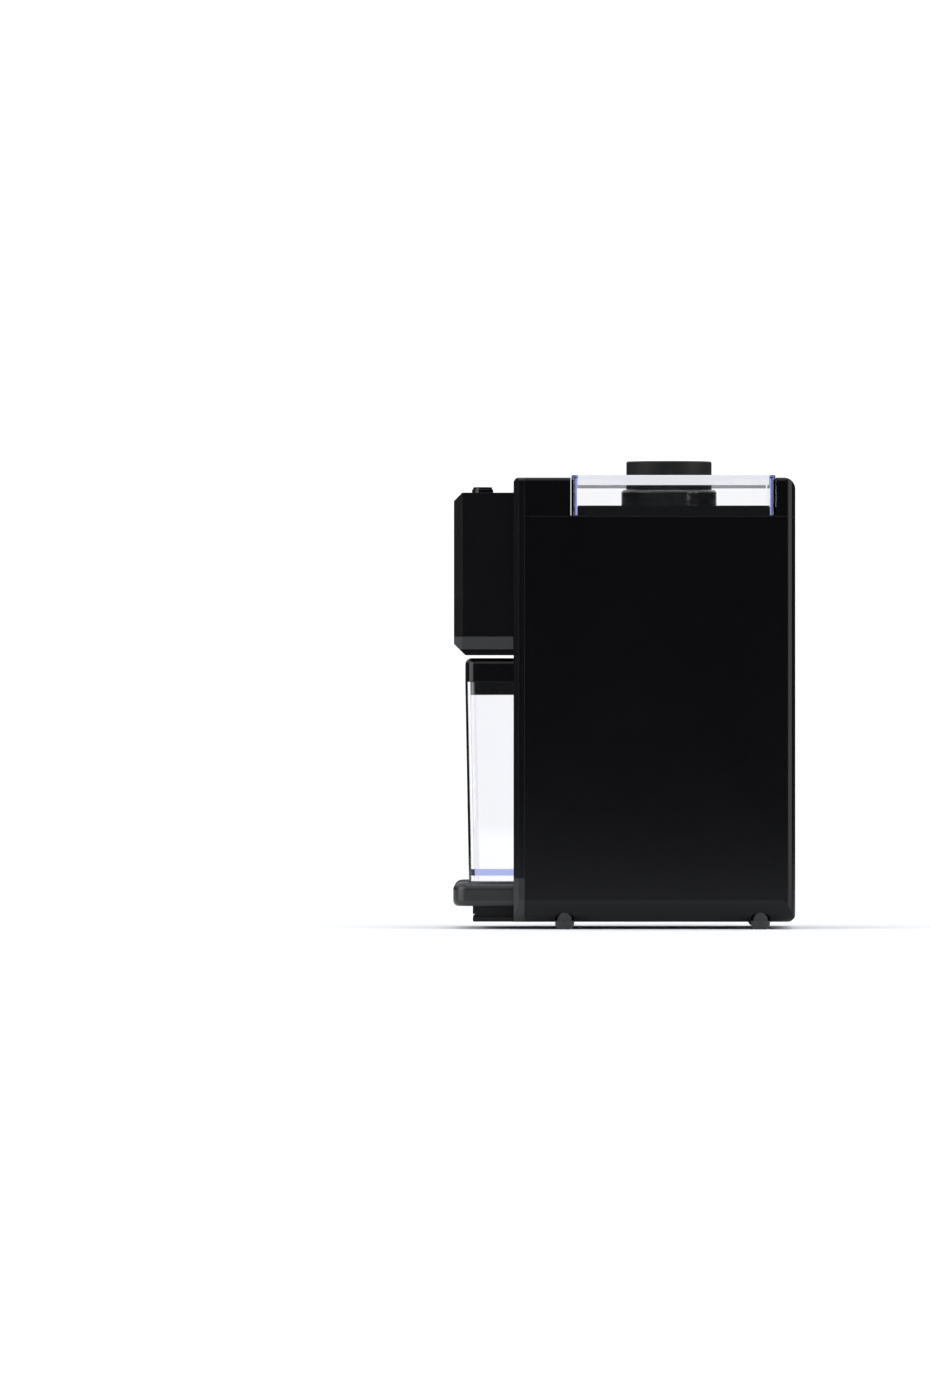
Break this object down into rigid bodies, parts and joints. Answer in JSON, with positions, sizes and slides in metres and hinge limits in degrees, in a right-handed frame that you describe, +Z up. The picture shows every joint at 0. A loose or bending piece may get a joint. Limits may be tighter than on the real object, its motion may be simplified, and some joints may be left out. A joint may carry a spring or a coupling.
{
  "type": "burr coffee grinder",
  "caption": "Electric burr coffee grinder with a clear hopper lid, a grind knob on top and a clear pull-out coffee container.",
  "frame": {"origin": "on the table under the middle of the overall box", "axes": "+Z up, the front faces -Y, +X to the right seen from the front"},
  "size_m": [0.13, 0.1884, 0.2584],
  "materials": {
    "case_black": "fine satin texture",
    "gloss_black": "polished",
    "knob_black": "matte",
    "clear_plastic": "clear, polished",
    "tool_steel": "ground",
    "zinc_steel": "zinc plated",
    "motor_steel": "drawn",
    "bronze": "sintered",
    "copper": "enamelled wire",
    "black_rubber": "matte",
    "red_rubber": "matte silicone",
    "board_green": "solder mask",
    "white_nylon": "satin",
    "grey_nylon": "glass filled",
    "ferrite": "sintered",
    "carbon": "carbon block",
    "trim_metal": "spun"
  },
  "bodies": {
    "housing": {"base_plate": "case_black", "rubber_feet": "black_rubber", "cord_gland": "black_rubber", "side_shell": "case_black", "top_cover": "case_black", "front_bezel": "gloss_black", "bay_liner": "case_black", "tray": "case_black", "tray_plinth": "knob_black", "head_cover": "case_black", "dial_ring": "trim_metal", "timer_board": "board_green", "potentiometer": "grey_nylon", "button_spring": "tool_steel", "button_guide": "grey_nylon", "start_switch": "grey_nylon", "interlock_switch": "grey_nylon", "interlock_bracket": "zinc_steel", "hopper_basin": "knob_black", "grind_chamber": "grey_nylon", "chamber_seal": "red_rubber", "coffee_chute": "grey_nylon", "shaft_bushes": "bronze", "shaft_seal": "red_rubber", "chassis_plate": "grey_nylon", "gear_bracket": "grey_nylon", "frame_posts": "zinc_steel", "motor_can": "motor_steel", "motor_end_cap": "grey_nylon", "motor_brushes": "carbon", "motor_bearings": "bronze", "motor_magnets": "ferrite", "case_screws": "zinc_steel", "small_screws": "zinc_steel"},
    "start_button": {"start_button": "gloss_black"},
    "cup_dial": {"cup_dial": "knob_black"},
    "interlock_pin": {"interlock_pin": "white_nylon"},
    "grind_selector": {"grind_knob": "knob_black", "adjuster_bell": "knob_black", "knob_screw": "zinc_steel"},
    "upper_burr_carrier": {"burr_carrier": "grey_nylon", "upper_burr": "tool_steel", "upper_burr_screws": "zinc_steel"},
    "lower_burr_drive": {"impeller": "grey_nylon", "lower_burr": "tool_steel", "lower_burr_screws": "zinc_steel", "shaft_nut": "zinc_steel", "drive_shaft": "tool_steel", "shaft_clip": "tool_steel", "drive_gear": "white_nylon"},
    "motor_rotor": {"motor_shaft": "tool_steel", "motor_armature": "motor_steel", "rotor_windings": "copper", "commutator": "copper", "cooling_fan": "grey_nylon", "motor_pinion": "tool_steel"},
    "hopper_lid": {"hopper_lid": "clear_plastic"},
    "coffee_container": {"container": "clear_plastic", "container_lid": "knob_black"}
  },
  "joints": [
    {"name": "start_button_press", "type": "slide", "parent": "housing", "child": "start_button", "axis": [0, 0, -1], "range_m": [0, 0.0022], "stiffness_N_per_m": 400, "deforming": ["button_spring"]},
    {"name": "cup_dial_turn", "type": "hinge", "parent": "housing", "child": "cup_dial", "pos_m": [0, -0.0938, 0.1964], "axis": [0, -1, 0], "range_deg": [0, 270]},
    {"name": "interlock_press", "type": "slide", "parent": "housing", "child": "interlock_pin", "axis": [0, 1, 0], "range_m": [0, 0.002], "stiffness_N_per_m": 300},
    {"name": "grind_select", "type": "hinge", "parent": "housing", "child": "grind_selector", "pos_m": [0, 0.0251, 0.2427], "axis": [0, 0, 1], "range_deg": [0, 300]},
    {"name": "burr_lift", "type": "slide", "parent": "housing", "child": "upper_burr_carrier", "axis": [0, 0, 1], "range_m": [0, 0.0014]},
    {"name": "motor_spin", "type": "hinge", "parent": "housing", "child": "motor_rotor", "pos_m": [0, 0.0611, 0.082], "axis": [0, 0, 1], "continuous": true},
    {"name": "burr_spin", "type": "hinge", "parent": "housing", "child": "lower_burr_drive", "pos_m": [0, 0.0251, 0.172], "axis": [0, 0, 1], "continuous": true},
    {"name": "hopper_lid_lift", "type": "slide", "parent": "housing", "child": "hopper_lid", "axis": [0, 0, 1], "range_m": [0, 0.06]},
    {"name": "container_pull", "type": "slide", "parent": "housing", "child": "coffee_container", "axis": [0, -1, 0], "range_m": [0, 0.1]}
  ],
  "couplings": [
    {"joint": "burr_lift", "follows": "grind_select", "m_per_rad": 0.000267},
    {"joint": "burr_spin", "follows": "motor_spin", "ratio": -0.2}
  ]
}
